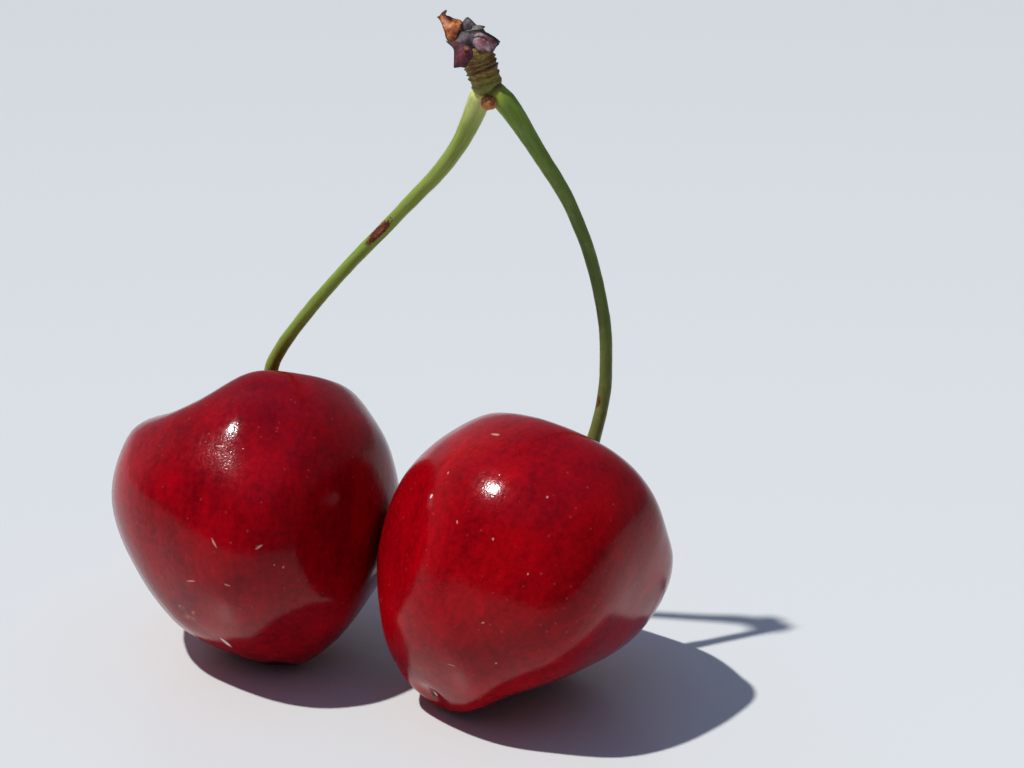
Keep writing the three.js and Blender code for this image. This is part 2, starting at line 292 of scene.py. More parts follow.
def find_mark(piece, start, end, width, tint):
    """A speck or dash on the skin between two places, each given by its meridian and height."""
    ends = []
    for meridian, height in (start, end):
        _, spot, _, _ = piece.ray_cast((0, 0, height * MM), meridian_point(1, 0, meridian))
        ends.append(spot)
    along = ends[1] - ends[0]
    turn = along.to_track_quat("X", "Z").to_euler()
    half_size = (along.length / 2 + width * MM, width * MM, 2 * width * MM)
    return ((ends[0] + ends[1]) / 2, turn, half_size, tint)


class Value:
    """One output in a material's nodes, so that maths on it reads as plain arithmetic."""

    def __init__(self, finish, socket):
        self.finish = finish
        self.socket = socket

    def maths(self, operation, *values):
        sockets = dict(enumerate(values))
        return self.finish.node("ShaderNodeMath", {"operation": operation}, sockets)

    def __add__(self, other):
        return self.maths("ADD", self, other)

    def __sub__(self, other):
        return self.maths("SUBTRACT", self, other)

    def __rsub__(self, other):
        return self.maths("SUBTRACT", other, self)

    def __mul__(self, other):
        return self.maths("MULTIPLY", self, other)

    def __pow__(self, other):
        return self.maths("POWER", self, other)

    def size(self):
        return self.maths("ABSOLUTE", self)

    def between(self, low, high, start=0.0, end=1.0):
        """Goes smoothly from start to end while this value goes from low to high."""
        sockets = {"Value": self, "From Min": low, "From Max": high, "To Min": start, "To Max": end}
        return self.finish.node("ShaderNodeMapRange", {"interpolation_type": "SMOOTHSTEP"}, sockets)


class Finish:
    """A material and its nodes."""

    def __init__(self, name, **surface):
        self.material = bpy.data.materials.new(name)
        self.material.use_nodes = True
        self.tree = self.material.node_tree
        self.shader = self.tree.nodes["Principled BSDF"]
        self.on_object = self.node("ShaderNodeTexCoord", output="Object")
        for socket, value in surface.items():
            self.shader.inputs[socket.replace("_", " ").title()].default_value = value

    def node(self, kind, settings=None, sockets=None, output=0):
        """Adds a node, makes its settings, fills its sockets and gives one of its outputs."""
        node = self.tree.nodes.new(kind)
        for setting, value in (settings or {}).items():
            if setting == "stops":
                self.set_stops(node.color_ramp, value)
            else:
                setattr(node, setting, value)
        for socket, value in (sockets or {}).items():
            if isinstance(value, Value):
                self.tree.links.new(value.socket, node.inputs[socket])
            else:
                node.inputs[socket].default_value = value
        return Value(self, node.outputs[output])

    def set_stops(self, ramp, stops):
        while len(ramp.elements) < len(stops):
            ramp.elements.new(1.0)
        for element, (position, colour) in zip(ramp.elements, stops):
            element.position = position
            element.color = colour

    def noise(self, place, grain, detail=2.0, rough=0.5, distortion=0.0):
        sockets = {
            "Vector": place,
            "Scale": 1 / grain,
            "Detail": detail,
            "Roughness": rough,
            "Distortion": distortion,
        }
        return self.node("ShaderNodeTexNoise", None, sockets)

    def mix(self, factor, first, second):
        sockets = {0: factor, 6: first, 7: second}
        return self.node("ShaderNodeMix", {"data_type": "RGBA"}, sockets, 2)

    def placed(self, vector, spot, turn=(0, 0, 0), scale=(1, 1, 1)):
        """The vector as seen from a spot with its own turn and scale."""
        sockets = {"Vector": vector, "Location": spot, "Rotation": turn, "Scale": scale}
        return self.node("ShaderNodeMapping", {"vector_type": "TEXTURE"}, sockets)

    def length(self, vector):
        return self.node("ShaderNodeVectorMath", {"operation": "LENGTH"}, {0: vector}, "Value")

    def parts(self, vector):
        node = self.node("ShaderNodeSeparateXYZ", None, {0: vector}).socket.node
        return [Value(self, node.outputs[axis]) for axis in "XYZ"]

    def bump(self, height, depth, strength):
        sockets = {"Height": height, "Distance": depth, "Strength": strength}
        return self.node("ShaderNodeBump", None, sockets)

    def drive(self, socket, value):
        self.tree.links.new(value.socket, self.shader.inputs[socket])


def shade(red, green, blue):
    return (red, green, blue, 1.0)


def skin_finish(name, fruit, place, marks, deep, bright):
    """Wet-looking cherry skin: mottled crimson with fine pale pores, under a thin clear gloss, with
    painted shade in the stem hollow and towards the crown, and a few painted glints.
    """
    skin = Finish(name, subsurface_weight=0.12, subsurface_scale=1.2 * MM)
    shader = skin.shader
    shader.inputs["IOR"].default_value = 1.27
    shader.inputs["Subsurface Radius"].default_value = (1.0, 0.12, 0.08)
    shader.inputs["Coat Roughness"].default_value = 0.05
    shader.inputs["Coat IOR"].default_value = 1.3
    local = skin.placed(skin.on_object, place.translation, place.to_euler())
    x, y, z = skin.parts(local)

    blotch = skin.noise(local, BLOTCH_GRAIN, 3)
    streak_place = skin.placed(local, (0, 0, 0), scale=STREAK_STRETCH)
    streak = skin.noise(streak_place, STREAK_GRAIN, 3, 0.6)
    speckle = skin.noise(local, SPECKLE_GRAIN, 2, 0.7)
    ripeness = blotch.between(0.3, 0.75) * 0.4 + streak.between(0.3, 0.75) * 0.25
    ripeness = ripeness + speckle.between(0.3, 0.7) * 0.35
    colour = skin.mix(ripeness, deep, bright)

    pores = skin.node("ShaderNodeTexVoronoi", None, {"Vector": local, "Scale": 1 / PORE_SPACING})
    pore = pores.between(0.06, 0.13, 1.0, 0.0) * blotch.between(0.3, 0.6, 0.25, 1.0)
    colour = skin.mix(pore * 0.35, colour, shade(0.42, 0.09, 0.08))

    seam_angle = math.radians(fruit["seam"])
    across = x * math.sin(seam_angle) - y * math.cos(seam_angle)
    along = x * math.cos(seam_angle) + y * math.sin(seam_angle)
    seam = across.size().between(0.1 * MM, 0.7 * MM, 1.0, 0.0) * along.between(0.0, 1 * MM)
    seam = seam * streak.between(0.2, 0.6, 0.4, 1.0)
    colour = skin.mix(seam * 0.3, colour, shade(0.03, 0.001, 0.003))

    from_axis = (x * x + y * y) ** 0.5
    crown = fruit["crown"] * MM
    # Darker towards the crown: partly painted shade, partly the deeper red of a ripe cherry's shoulders
    crown_shade = z.between(0.1 * crown, crown) * 0.4
    colour = skin.mix(crown_shade, colour, shade(0.13, 0.0, 0.006))
    # Painted shade in the stem hollow: the skin darkens down into it
    hollow = from_axis.between(1.2 * MM, 5.5 * MM, 1.0, 0.0) * z.between(crown - 4 * MM, crown - 2 * MM)
    colour = skin.mix(hollow * 0.5, colour, shade(0.08, 0.004, 0.004))
    ring = from_axis.between(0.8 * MM, 1.7 * MM, 1.0, 0.0) * z.between(0, 2 * MM)
    colour = skin.mix(ring * 0.8, colour, shade(0.16, 0.06, 0.02))

    shift_x, shift_y = fruit["tip_shift"]
    tip_spot = (shift_x * MM, shift_y * MM, TIP_DIMPLE_DEPTH - fruit["base"] * MM)
    from_tip = skin.length(skin.placed(local, tip_spot)) + (speckle - 0.5) * 0.5 * MM
    scar = from_tip.between(0.22 * MM, 0.42 * MM, 1.0, 0.0)
    colour = skin.mix(scar, colour, shade(0.09, 0.022, 0.012))

    fine = skin.noise(local, FINE_GRAIN, 2, 0.6)
    relief = streak * 1.2 + speckle * 0.6 + fine * 0.6
    # Each mark paints its tint: cork specks and dashes, brown blemishes, and the white painted glints
    # and reflection speck
    for spot, turn, half_size, tint in marks:
        there = skin.placed(local, spot, turn, half_size)
        mark = (skin.length(there) + (fine - 0.5) * 0.8).between(0.6, 1.15, 1.0, 0.0)
        colour = skin.mix(mark * 0.9, colour, tint)
        relief = relief + mark * 0.6

    skin.drive("Base Color", colour)
    skin.drive("Roughness", speckle.between(0.2, 0.8, 0.12, 0.18) + scar * 0.4)
    skin.drive("Coat Weight", 0.05 - scar * 0.05)
    skin.drive("Normal", skin.bump(relief + pore * 0.5 - scar, SKIN_RELIEF, 0.6))
    return skin.material


left_cherry, left_place, left_marks = grow_fruit("left_cherry", LEFT_CHERRY)
left_skin = skin_finish(
    "left_cherry_skin",
    LEFT_CHERRY,
    left_place,
    left_marks,
    shade(0.16, 0.0, 0.004),
    shade(0.47, 0.0005, 0.006),
)
left_cherry.data.materials.append(left_skin)
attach(left_cherry, "root")
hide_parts("cherry_left")

# Right cherry
# The same kind of fruit, thinner from side to side, lying further over with its tip to the front and
# its stem hollow turned away.

RIGHT_CHERRY = {
    "radius": 13.8,
    "roundness": 0.895,
    "crown": 9.25,
    "base": 13.95,
    "shoulder": 0.805,
    "cheek": 0.86,
    "flank": 0.54,
    "nose": 0.3,
    "tip_shift": (2.9, -2.35),
    "pushes": [
        ("shoulder", 270, 1.35, 10),
        ("cheek", 90, -0.95, 10),
        ("cheek", 270, -1.25, 10),
        ("waist", 225, -1.2, 10),
        ("rim", 187.5, 0.7, 7.3),
        ("cheek", 202.5, 1.1, 9),
        ("rim", 120, -0.4, 7),
    ],
    "turn": 47.4,
    "lean": 58.6,
    "roll": 55.1,
    "place": (11.5, -4.25),
    "seam": 30,
    "marks": [
        ((123.5, 3.86), (127.1, 3.97), 0.09, PALE_CORK),
        ((166.4, 8.06), (169.1, 8.01), 0.1, PALE_CORK),
        # painted reflection: a bright speck
        ((116.4, -3.53), (116.5, -3.4), 0.14, PAINTED_GLINT),
        ((119.9, -1.3), (120.0, -1.3), 0.08, PALE_CORK),
        ((161.1, 0.54), (161.2, 0.54), 0.1, PALE_CORK),
        ((137.0, -4.92), (137.1, -4.92), 0.08, PALE_CORK),
        ((154.2, -4.78), (154.3, -4.78), 0.09, PALE_CORK),
        ((172.8, -5.45), (172.9, -5.45), 0.08, PALE_CORK),
        ((172.5, -9.99), (173.0, -9.9), 0.08, PALE_CORK),
        ((178.9, -12.98), (184.8, -12.85), 0.06, PALE_CORK),
        ((197.2, -11.18), (197.4, -11.18), 0.09, PALE_CORK),
        ((22.9, -13.37), (23.9, -13.37), 0.09, PALE_CORK),
        ((65.5, -10.47), (65.7, -10.47), 0.08, PALE_CORK),
        # painted highlight: the sun's glint at the tip
        ((315.5, -13.58), (316.5, -13.5), 0.19, PAINTED_GLINT),
        ((244.0, 5.4), (246.5, 5.5), 0.28, BROWN_CORK),
    ],
}

right_cherry, right_place, right_marks = grow_fruit("right_cherry", RIGHT_CHERRY)
right_skin = skin_finish(
    "right_cherry_skin",
    RIGHT_CHERRY,
    right_place,
    right_marks,
    shade(0.2, 0.0, 0.003),
    shade(0.52, 0.0005, 0.005),
)
right_cherry.data.materials.append(right_skin)
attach(right_cherry, "root")
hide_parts("cherry_right")

# Stalks
# The two thin fruit stalks, green and fibrous, each grown into the floor of its fruit's hollow and
# into the spur. They widen at both ends, and lie in one slack curve each.

STALK_SINK = 0.2 * MM  # how far a stalk's foot goes into the floor of the hollow
STALK_STOPS = (0.9 * MM, 2.6 * MM)  # above the floor, before the stalk turns to its route
STALK_SIDES = 12
STALK_STEPS = 24  # between two points of the route
STALK_RADIUS = 0.55
STALK_FOOT_RADIUS = 0.86
STALK_FOOT_REACH = 4.5
STALK_TOP_RADIUS = 1.12
STALK_TOP_REACH = 5.5
STALK_END_RADIUS = 0.85  # inside the spur's neck
STALK_UNEVENNESS = [(1.6 * MM, 0.07 * MM), (0.45 * MM, 0.025 * MM)]
STALK_RELIEF = 0.05 * MM
FIBRE_COUNT = (9, 14, 1)  # round the stalk and along it
MOTTLE_GRAIN = 0.9 * MM
STALK_SPECK_GRAIN = 0.22 * MM
LEFT_ROUTE = [
    (-10.9, 10.15, 24.4),
    (-10.04, 10.0, 26.35),
    (-8.7, 9.75, 28.4),
    (-3.95, 9.05, 34.3),
    (1.3, 8.4, 40.05),
    (6.05, 7.2, 45.85),
    (8.25, 6.3, 50.75),
    (8.6, 5.9, 51.75),
]
RIGHT_ROUTE = [
    (18.75, 3.3, 22.65),
    (19.25, 4.4, 27.45),
    (18.75, 5.1, 32.8),
    (16.2, 5.4, 40.95),
    (13.1, 5.0, 46.45),
    (10.35, 4.85, 50.75),
    (9.35, 5.1, 51.8),
]


def grow_stalk(name, fruit, place, route):
    """A round stem along its route, with a length-and-round map for the run of its fibres."""
    floor = place @ Vector((0, 0, fruit["crown"] * MM - HOLLOW_DEPTH))
    axis = place.to_3x3() @ Vector((0, 0, 1))
    points = [floor - axis * STALK_SINK]
    points += [floor + axis * stop for stop in STALK_STOPS]
    points += [Vector(point) * MM for point in route]

    bpy.ops.object.select_all(action="DESELECT")
    bpy.ops.curve.primitive_bezier_curve_add()
    stalk = bpy.context.object
    stalk.name = name
    bpy.ops.object.mode_set(mode="EDIT")
    bpy.ops.curve.select_all(action="SELECT")
    bpy.ops.curve.delete(type="VERT")
    for point in points:
        bpy.ops.curve.vertex_add(location=point)
    bpy.ops.curve.select_all(action="SELECT")
    bpy.ops.curve.handle_type_set(type="AUTOMATIC")
    bpy.ops.object.mode_set(mode="OBJECT")

    stops = stalk.data.splines[0].bezier_points
    lengths = [0.0]
    for here, there in zip(points, points[1:]):
        lengths.append(lengths[-1] + (there - here).length / MM)
    for stop, from_foot in zip(stops, lengths):
        to_top = lengths[-1] - from_foot
        stop.radius = (
            STALK_RADIUS
            + (STALK_FOOT_RADIUS - STALK_RADIUS) * math.exp(-from_foot / STALK_FOOT_REACH)
            + (STALK_TOP_RADIUS - STALK_RADIUS) * math.exp(-to_top / STALK_TOP_REACH)
        )
    stops[-1].radius = STALK_END_RADIUS
    curve = stalk.data
    curve.dimensions = "3D"
    curve.bevel_depth = MM
    curve.bevel_resolution = STALK_SIDES // 2 - 2
    curve.resolution_u = STALK_STEPS
    curve.use_fill_caps = True
    bpy.ops.object.convert(target="MESH")

    mesh = stalk.data
    while mesh.uv_layers:
        mesh.uv_layers.remove(mesh.uv_layers[0])
    fibres = mesh.uv_layers.new(name="fibres")
    rings = len(mesh.vertices) // STALK_SIDES
    for face in mesh.polygons:
        sides = [mesh.loops[loop].vertex_index % STALK_SIDES for loop in face.loop_indices]
        wraps = max(sides) - min(sides) > 1
        for loop, side in zip(face.loop_indices, sides):
            ring = mesh.loops[loop].vertex_index // STALK_SIDES
            round_it = STALK_SIDES if wraps and side == 0 else side
            fibres.data[loop].uv = (round_it / STALK_SIDES, ring / (rings - 1))
    for grain, strength in STALK_UNEVENNESS:
        roughen(stalk, grain, strength)
    bpy.ops.object.shade_smooth()
    return stalk


def stalk_finish(name, tones, scars):
    """Stem green, from olive brown by the fruit to lime by the spur, with fine fibres along it."""
    stem = Finish(name, subsurface_weight=0.08, subsurface_scale=0.5 * MM)
    stem.shader.inputs["IOR"].default_value = 1.33
    on_map = stem.node("ShaderNodeTexCoord", output="UV")
    _, length_up, _ = stem.parts(on_map)
    colour = stem.node("ShaderNodeValToRGB", {"stops": tones}, {0: length_up})
    fibre_place = stem.node("ShaderNodeMapping", None, {"Vector": on_map, "Scale": FIBRE_COUNT})
    fibre = stem.noise(fibre_place, 1.0, 3, 0.6)
    mottle = stem.noise(stem.on_object, MOTTLE_GRAIN, 3, 0.6)
    fine = stem.noise(stem.on_object, STALK_SPECK_GRAIN, 2)
    colour = stem.mix(fibre.between(0.35, 0.7) * 0.35, colour, shade(0.06, 0.075, 0.012))
    colour = stem.mix(mottle.between(0.5, 0.75) * 0.4, colour, shade(0.3, 0.36, 0.11))
    colour = stem.mix(fine.between(0.62, 0.75) * 0.25, colour, shade(0.09, 0.06, 0.015))
    relief = fibre * 0.7 + fine * 0.3
    for spot, turn, half_size, strength in scars:
        at_spot = [x * MM for x in spot]
        there = stem.placed(stem.on_object, at_spot, turn, [size * MM for size in half_size])
        from_middle = stem.length(there) + (fine - 0.5) * 0.7 + (mottle - 0.5) * 0.5
        scar = from_middle.between(0.75, 1.1, 1.0, 0.0) * strength
        heart = from_middle.between(0.2, 0.6, 1.0, 0.0) * strength
        colour = stem.mix(scar, colour, shade(0.17, 0.03, 0.014))
        colour = stem.mix(heart * 0.7, colour, shade(0.45, 0.14, 0.08))
        colour = stem.mix(fine.between(0.4, 0.55, 0.75, 0.0) * scar, colour, shade(0.06, 0.01, 0.006))
        relief = relief + scar * 0.8 - heart * 1.2
    stem.drive("Base Color", colour)
    stem.drive("Roughness", fibre.between(0.3, 0.7, 0.36, 0.55))
    stem.drive("Normal", stem.bump(relief, STALK_RELIEF, 0.8))
    return stem.material


LEFT_TONES = [
    (0.0, shade(0.2, 0.11, 0.03)),
    (0.12, shade(0.34, 0.27, 0.04)),
    (0.3, shade(0.3, 0.34, 0.045)),
    (0.6, shade(0.28, 0.38, 0.055)),
    (0.85, shade(0.34, 0.42, 0.08)),
    (0.93, shade(0.88, 0.92, 0.32)),
    (0.965, shade(0.74, 0.72, 0.15)),
    (0.99, shade(0.22, 0.1, 0.03)),
]
RIGHT_TONES = [
    (0.0, shade(0.2, 0.08, 0.03)),
    (0.12, shade(0.34, 0.19, 0.05)),
    (0.24, shade(0.22, 0.21, 0.05)),
    (0.6, shade(0.14, 0.2, 0.04)),
    (0.88, shade(0.22, 0.34, 0.045)),
    (0.95, shade(0.38, 0.48, 0.06)),
    (0.97, shade(0.3, 0.3, 0.05)),
    (0.99, shade(0.14, 0.09, 0.025)),
]
LEFT_SCARS = [((-0.75, 8.3, 38.15), (0, 0.77, 0), (0.4, 0.62, 1.8), 1.0)]
RIGHT_SCARS = [((18.45, 3.2, 24.0), (0, 0.12, 0), (0.3, 0.5, 0.6), 0.8)]

for side, fruit, place, route, tones, scars in (
    ("left", LEFT_CHERRY, left_place, LEFT_ROUTE, LEFT_TONES, LEFT_SCARS),
    ("right", RIGHT_CHERRY, right_place, RIGHT_ROUTE, RIGHT_TONES, RIGHT_SCARS),
):
    stalk = grow_stalk(f"{side}_stalk", fruit, place, route)
    stalk.data.materials.append(stalk_finish(f"{side}_stalk_green", tones, scars))
    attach(stalk, "root")
    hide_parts(f"stalk_{side}")

# Spur
# The short woody shoot that both stalks grow from. Its neck is ringed by the scars of old leaves, and
# the round stub of a fallen third stalk sits in the fork.

SPUR_FOOT = Vector((8.95, 5.5, 51.7)) * MM
SPUR_LEAN = math.radians(-17.3)
NECK_OUTLINE = [
    (0.0, -0.35),
    (0.8, -0.3),
    (1.14, 0.0),
    (1.26, 0.32),
    (1.38, 0.56),
    (1.26, 0.7),
    (1.28, 1.1),
    (1.42, 1.28),
    (1.27, 1.4),
    (1.3, 1.62),
    (1.48, 1.82),
    (1.33, 1.92),
    (1.34, 2.12),
    (1.47, 2.3),
    (1.34, 2.4),
    (1.36, 2.6),
    (1.46, 2.78),
    (1.32, 2.9),
    (1.36, 3.2),
    (1.44, 3.4),
    (1.34, 3.52),
    (1.3, 4.0),
    (0.0, 4.1),
]
NECK_STEPS = 60
RING_TILT = math.radians(5)
RING_TILTS = [  # the bottom and top of each ring, and its share of the tilt
    (0.6, 1.0, 1.0),
    (1.2, 1.5, -0.6),
    (1.7, 2.0, 1.2),
    (2.2, 2.5, 0.4),
    (2.7, 3.0, -1.1),
]
NECK_UNEVENNESS = [(0.5 * MM, 0.16 * MM), (0.16 * MM, 0.05 * MM)]
BARK_RELIEF = 0.12 * MM

spur_place = Matrix.Translation(SPUR_FOOT) @ Matrix.Rotation(SPUR_LEAN, 4, "Y")
neck_profile = [Vector((radius * MM, 0, height * MM)) for radius, height in NECK_OUTLINE]
spur = spin_profile("spur_neck", neck_profile, NECK_STEPS)
for low, high, tilt in RING_TILTS:
    ring = [vertex.index for vertex in spur.data.vertices if low * MM < vertex.co.z < high * MM]
    middle = (0, 0, (low + high) / 2 * MM)
    pick(spur, ring)
    bpy.ops.transform.rotate(value=tilt * RING_TILT, orient_axis="X", center_override=middle)
    bpy.ops.transform.rotate(value=tilt * 0.7 * RING_TILT, orient_axis="Y", center_override=middle)
    bpy.ops.object.mode_set(mode="OBJECT")
set_down(spur, spur_place)
for grain, strength in NECK_UNEVENNESS:
    roughen(spur, grain, strength)
bpy.ops.object.shade_smooth()

NUB_MIDDLE = Vector((8.98, 4.35, 50.8)) * MM
NUB_RADIUS = 0.66 * MM
NUB_STRETCH = (1.05, 1.2, 0.95, 1)
NUB_GRAIN = 0.35 * MM
NUB_UNEVENNESS = 0.22 * MM
NUB_RELIEF = 0.1 * MM

bpy.ops.object.select_all(action="DESELECT")
bpy.ops.mesh.primitive_uv_sphere_add(segments=40, ring_count=24, radius=NUB_RADIUS)
nub = bpy.context.object
nub.name = "fallen_stalk_nub"
set_down(nub, Matrix.Translation(NUB_MIDDLE) @ Matrix.Diagonal(NUB_STRETCH))
roughen(nub, NUB_GRAIN, NUB_UNEVENNESS)
bpy.ops.object.shade_smooth()

spur_bark = Finish("spur_bark")
neck_place = spur_bark.placed(spur_bark.on_object, spur_place.translation, spur_place.to_euler())
neck_x, neck_y, neck_up = spur_bark.parts(neck_place)
neck_radius = (neck_x * neck_x + neck_y * neck_y) ** 0.5
ring_place = spur_bark.placed(neck_place, (0, 0, 0), scale=(1, 1, 0.3))
rings = spur_bark.noise(ring_place, 0.5 * MM, 4, 0.65, 0.4)
patches = spur_bark.noise(spur_bark.on_object, 0.9 * MM, 4, 0.6)
bark_grain = spur_bark.noise(spur_bark.on_object, 0.12 * MM, 3, 0.6)
bark = spur_bark.node(
    "ShaderNodeValToRGB",
    {
        "stops": [
            (0.0, shade(0.02, 0.009, 0.004)),
            (0.4, shade(0.17, 0.055, 0.014)),
            (0.48, shade(0.26, 0.12, 0.025)),
            (0.56, shade(0.3, 0.235, 0.04)),
            (0.68, shade(0.45, 0.39, 0.1)),
            (1.0, shade(0.6, 0.56, 0.28)),
        ]
    },
    {0: rings * 0.6 + patches * 0.4},
)
bark = spur_bark.mix(neck_up.between(0.1 * MM, 1.7 * MM, 0.75, 0.0), bark, shade(0.2, 0.25, 0.04))
bark = spur_bark.mix(neck_radius.between(1.36 * MM, 1.5 * MM) * 0.75, bark, shade(0.045, 0.018, 0.01))
spur_bark.drive("Base Color", bark)
spur_bark.drive("Roughness", bark_grain.between(0.3, 0.7, 0.6, 0.85))
spur_bark.drive("Normal", spur_bark.bump(rings + bark_grain * 0.5, BARK_RELIEF, 0.8))
spur.data.materials.append(spur_bark.material)

nub_bark = Finish("nub_bark")
flakes = nub_bark.noise(nub_bark.on_object, 0.3 * MM, 4, 0.65, 0.6)
nub_colour = nub_bark.node(
    "ShaderNodeValToRGB",
    {
        "stops": [
            (0.3, shade(0.07, 0.018, 0.008)),
            (0.4, shade(0.36, 0.09, 0.025)),
            (0.52, shade(0.6, 0.21, 0.06)),
            (0.7, shade(0.6, 0.32, 0.13)),
        ]
    },
    {0: flakes},
)
nub_bark.drive("Base Color", nub_colour)
nub_bark.drive("Normal", nub_bark.bump(flakes, NUB_RELIEF, 0.8))
nub_bark.shader.inputs["Roughness"].default_value = 0.85
nub.data.materials.append(nub_bark.material)

for piece in (spur, nub):
    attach(piece, "root")
    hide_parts("spur")

# Bud scales
# The dry, papery scales of last year's bud, which crown the spur. Thin brown, purple and amber
# blades, cupped and curled as they dried, with ragged tips.

BUD_MIDDLE = Vector((7.6, 5.62, 55.61)) * MM
SCALE_GRID = 0.25 * MM
SCALE_WALL = 0.14 * MM
SCALE_CRINKLE = [(0.55 * MM, 0.28 * MM), (0.2 * MM, 0.084 * MM)]
SCALE_RELIEF = 0.08 * MM
bud_place = Matrix.Translation(BUD_MIDDLE) @ Matrix.Rotation(SPUR_LEAN, 4, "Y")


def intersect_segment(point, start, end):
    """The place on a straight edge that lies closest to the point."""
    spot, share = intersect_point_line(point, start, end)
    return start if share < 0 else end if share > 1 else spot


def grow_scale(name, outline, depth, pushes):
    """A thin blade cut to its outline, pushed into its cup and curls, crinkled and given a wall."""
    points = [Vector((x * MM, depth * MM, z * MM)) for x, z in outline]
    bpy.ops.object.select_all(action="DESELECT")
    bpy.ops.mesh.primitive_plane_add(size=MM)
    scale = bpy.context.object
    scale.name = name
    bpy.ops.object.mode_set(mode="EDIT")
    bpy.ops.mesh.select_all(action="SELECT")
    bpy.ops.mesh.merge(type="CENTER")
    bpy.ops.transform.translate(value=points[0])
    for here, there in zip(points, points[1:]):
        bpy.ops.mesh.extrude_region_move(TRANSFORM_OT_translate={"value": there - here})
    bpy.ops.mesh.select_all(action="SELECT")
    bpy.ops.mesh.edge_face_add()
    for axis, normal in ((0, (1, 0, 0)), (2, (0, 0, 1))):
        low = min(point[axis] for point in points)
        high = max(point[axis] for point in points)
        for step in range(1, int((high - low) / SCALE_GRID) + 1):
            cut = Vector((0, 0, 0))
            cut[axis] = low + step * SCALE_GRID
            bpy.ops.mesh.select_all(action="SELECT")
            bpy.ops.mesh.bisect(plane_co=cut, plane_no=normal)
    bpy.ops.mesh.select_all(action="SELECT")
    bpy.ops.mesh.remove_doubles(threshold=0.02 * MM)
    bpy.ops.mesh.quads_convert_to_tris()
    bpy.ops.object.mode_set(mode="OBJECT")
    rim = scale.data.attributes.new("rim", "FLOAT", "POINT")
    for vertex, from_rim in zip(scale.data.vertices, rim.data):
        from_rim.value = min(
            (vertex.co - intersect_segment(vertex.co, here, there)).length / MM
            for here, there in zip(points, points[1:] + points[:1])
        )
    starts = [nearest(scale, Vector((x * MM, depth * MM, z * MM))) for (x, z), _, _ in pushes]
    for index, (_, shift, reach) in zip(starts, pushes):
        push(scale, index, Vector(shift) * MM, reach * MM)
    for grain, strength in SCALE_CRINKLE:
        roughen(scale, grain, strength)
    wall = scale.modifiers.new("Wall", "SOLIDIFY")
    wall.thickness = SCALE_WALL
    wall.offset = 0
    bpy.ops.object.modifier_apply(modifier=wall.name)
    smooth = scale.modifiers.new("Smooth", "SUBSURF")
    smooth.levels = 1
    smooth.render_levels = 1
    bpy.ops.object.modifier_apply(modifier=smooth.name)
    bpy.ops.object.shade_smooth()
    return scale


def scale_finish(name, stops, vein, edge, roughness=0.75):
    """Dry papery skin with fine veins along it, darker blotches and a dark brittle rim."""
    paper = Finish(name, roughness=roughness)
    along = paper.placed(paper.on_object, bud_place.translation, bud_place.to_euler(), (1, 1, 2.6))
    blotches = paper.noise(paper.on_object, 0.75 * MM, 4, 0.62, 0.4)
    veins = paper.noise(along, 0.22 * MM, 3, 0.6)
    colour = paper.node("ShaderNodeValToRGB", {"stops": stops}, {0: blotches * 0.7 + veins * 0.3})
    colour = paper.mix(veins.between(0.52, 0.72) * 0.5, colour, vein)
    from_rim = paper.node("ShaderNodeAttribute", {"attribute_name": "rim"}, output="Fac")
    rim = (from_rim + (veins - 0.5) * 0.3).between(0.03, 0.2, 1.0, 0.0)
    colour = paper.mix(rim * 0.85, colour, edge)
    paper.drive("Base Color", colour)
    paper.drive("Normal", paper.bump(veins + blotches, SCALE_RELIEF, 0.8))
    return paper.material


amber_paper = scale_finish(
    "amber_scale_paper",
    [
        (0.34, shade(0.12, 0.02, 0.015)),
        (0.44, shade(0.4, 0.09, 0.03)),
        (0.54, shade(0.72, 0.25, 0.05)),
        (0.68, shade(0.9, 0.45, 0.17)),
    ],
    shade(0.26, 0.08, 0.01),
    shade(0.05, 0.015, 0.012),
    0.5,
)
grey_paper = scale_finish(
    "grey_scale_paper",
    [
        (0.34, shade(0.03, 0.02, 0.025)),
        (0.45, shade(0.1, 0.065, 0.075)),
        (0.56, shade(0.2, 0.16, 0.17)),
        (0.7, shade(0.36, 0.31, 0.28)),
    ],
    shade(0.05, 0.03, 0.035),
    shade(0.012, 0.008, 0.01),
)
pale_paper = scale_finish(
    "pale_scale_paper",
    [
        (0.34, shade(0.16, 0.12, 0.1)),
        (0.5, shade(0.42, 0.37, 0.28)),
        (0.68, shade(0.7, 0.66, 0.52)),
    ],
    shade(0.2, 0.15, 0.12),
    shade(0.08, 0.06, 0.06),
)
pink_paper = scale_finish(
    "pink_scale_paper",
    [
        (0.34, shade(0.1, 0.02, 0.03)),
        (0.44, shade(0.27, 0.08, 0.1)),
        (0.54, shade(0.42, 0.22, 0.25)),
        (0.66, shade(0.66, 0.6, 0.6)),
    ],
    shade(0.2, 0.06, 0.08),
    shade(0.012, 0.008, 0.012),
)
plum_paper = scale_finish(
    "plum_scale_paper",
    [
        (0.34, shade(0.03, 0.008, 0.014)),
        (0.46, shade(0.12, 0.02, 0.03)),
        (0.58, shade(0.24, 0.045, 0.06)),
        (0.72, shade(0.34, 0.13, 0.16)),
    ],
    shade(0.06, 0.012, 0.02),
    shade(0.03, 0.015, 0.035),
)

# Near-black paper for the strip along the right scale's top edge: partly its dark dry edge, partly
# painted shadow
black_edge_and_shadow_paper = scale_finish(
    "black_scale_paper",
    [
        (0.34, shade(0.006, 0.004, 0.005)),
        (0.55, shade(0.02, 0.014, 0.018)),
        (0.72, shade(0.07, 0.05, 0.055)),
    ],
    shade(0.01, 0.006, 0.008),
    shade(0.004, 0.003, 0.004),
)

